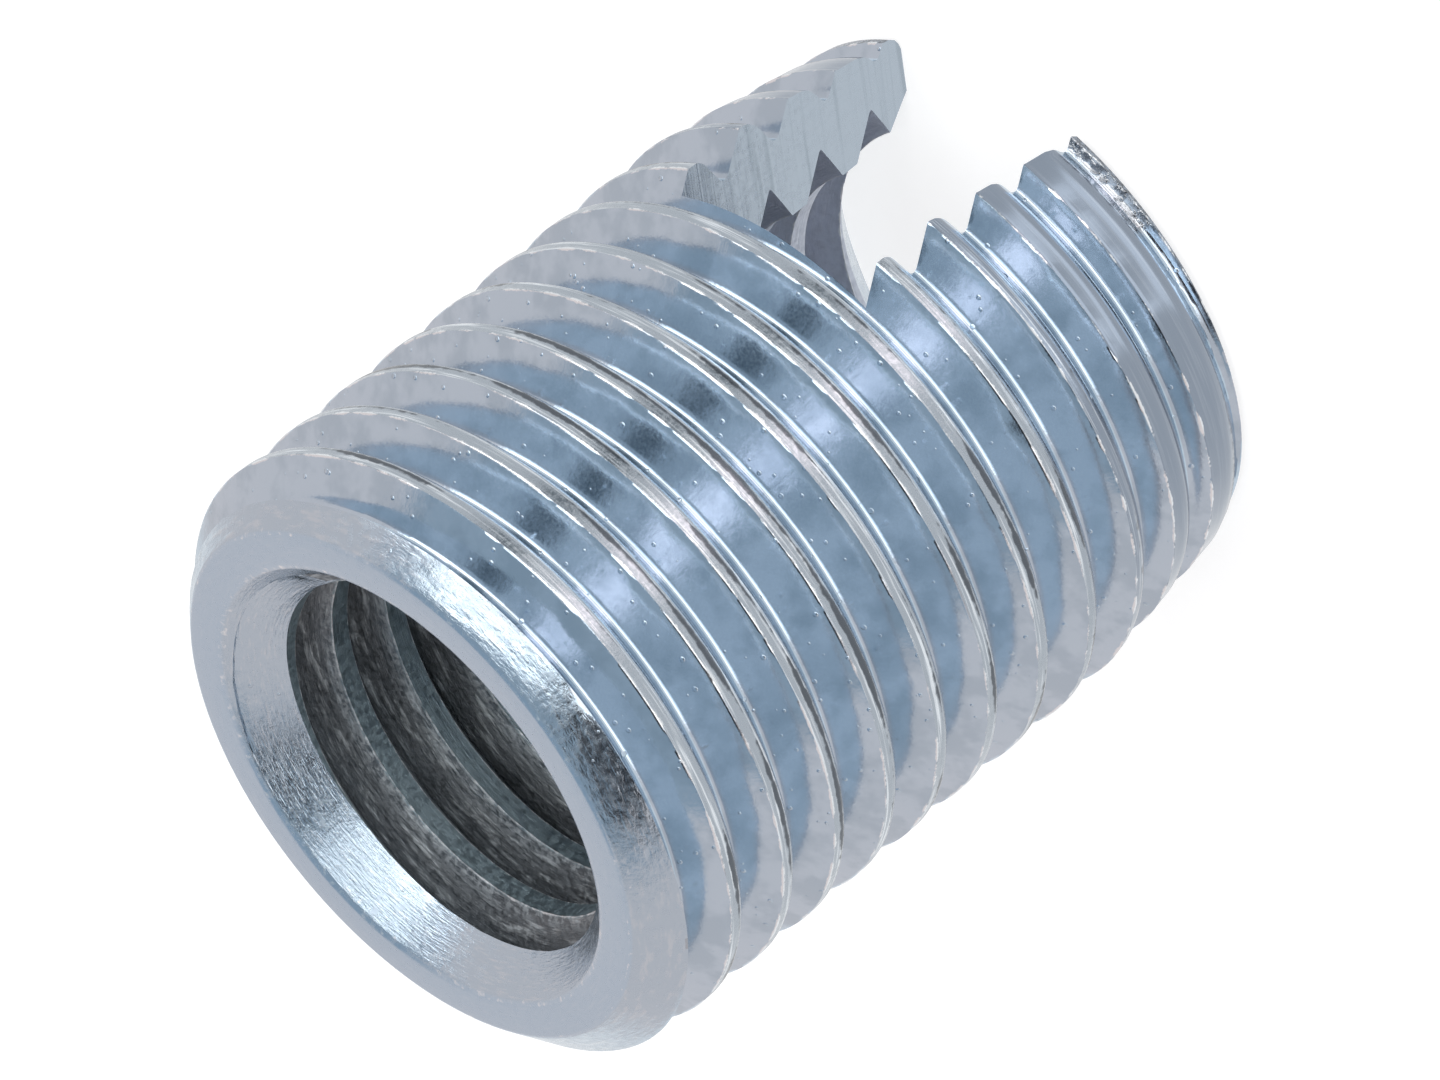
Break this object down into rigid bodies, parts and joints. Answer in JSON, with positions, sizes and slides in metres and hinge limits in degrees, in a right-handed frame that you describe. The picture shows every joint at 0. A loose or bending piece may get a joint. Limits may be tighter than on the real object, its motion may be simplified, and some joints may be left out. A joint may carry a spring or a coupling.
{
  "type": "threaded insert",
  "caption": "Headless slotted steel insert with a coarse self-cutting outer thread and a metric thread through its bore.",
  "frame": {"origin": "on the insert's axis at the slotted end, which it stands on", "axes": "+Z along the axis towards the flat drive end; the cutting slot runs along X"},
  "size_m": [0.014, 0.014, 0.018],
  "materials": {
    "zinc_plate": "bright zinc plate with a bluish passivation over turned steel"
  },
  "bodies": {
    "root": {"insert": "zinc_plate"}
  },
  "joints": []
}
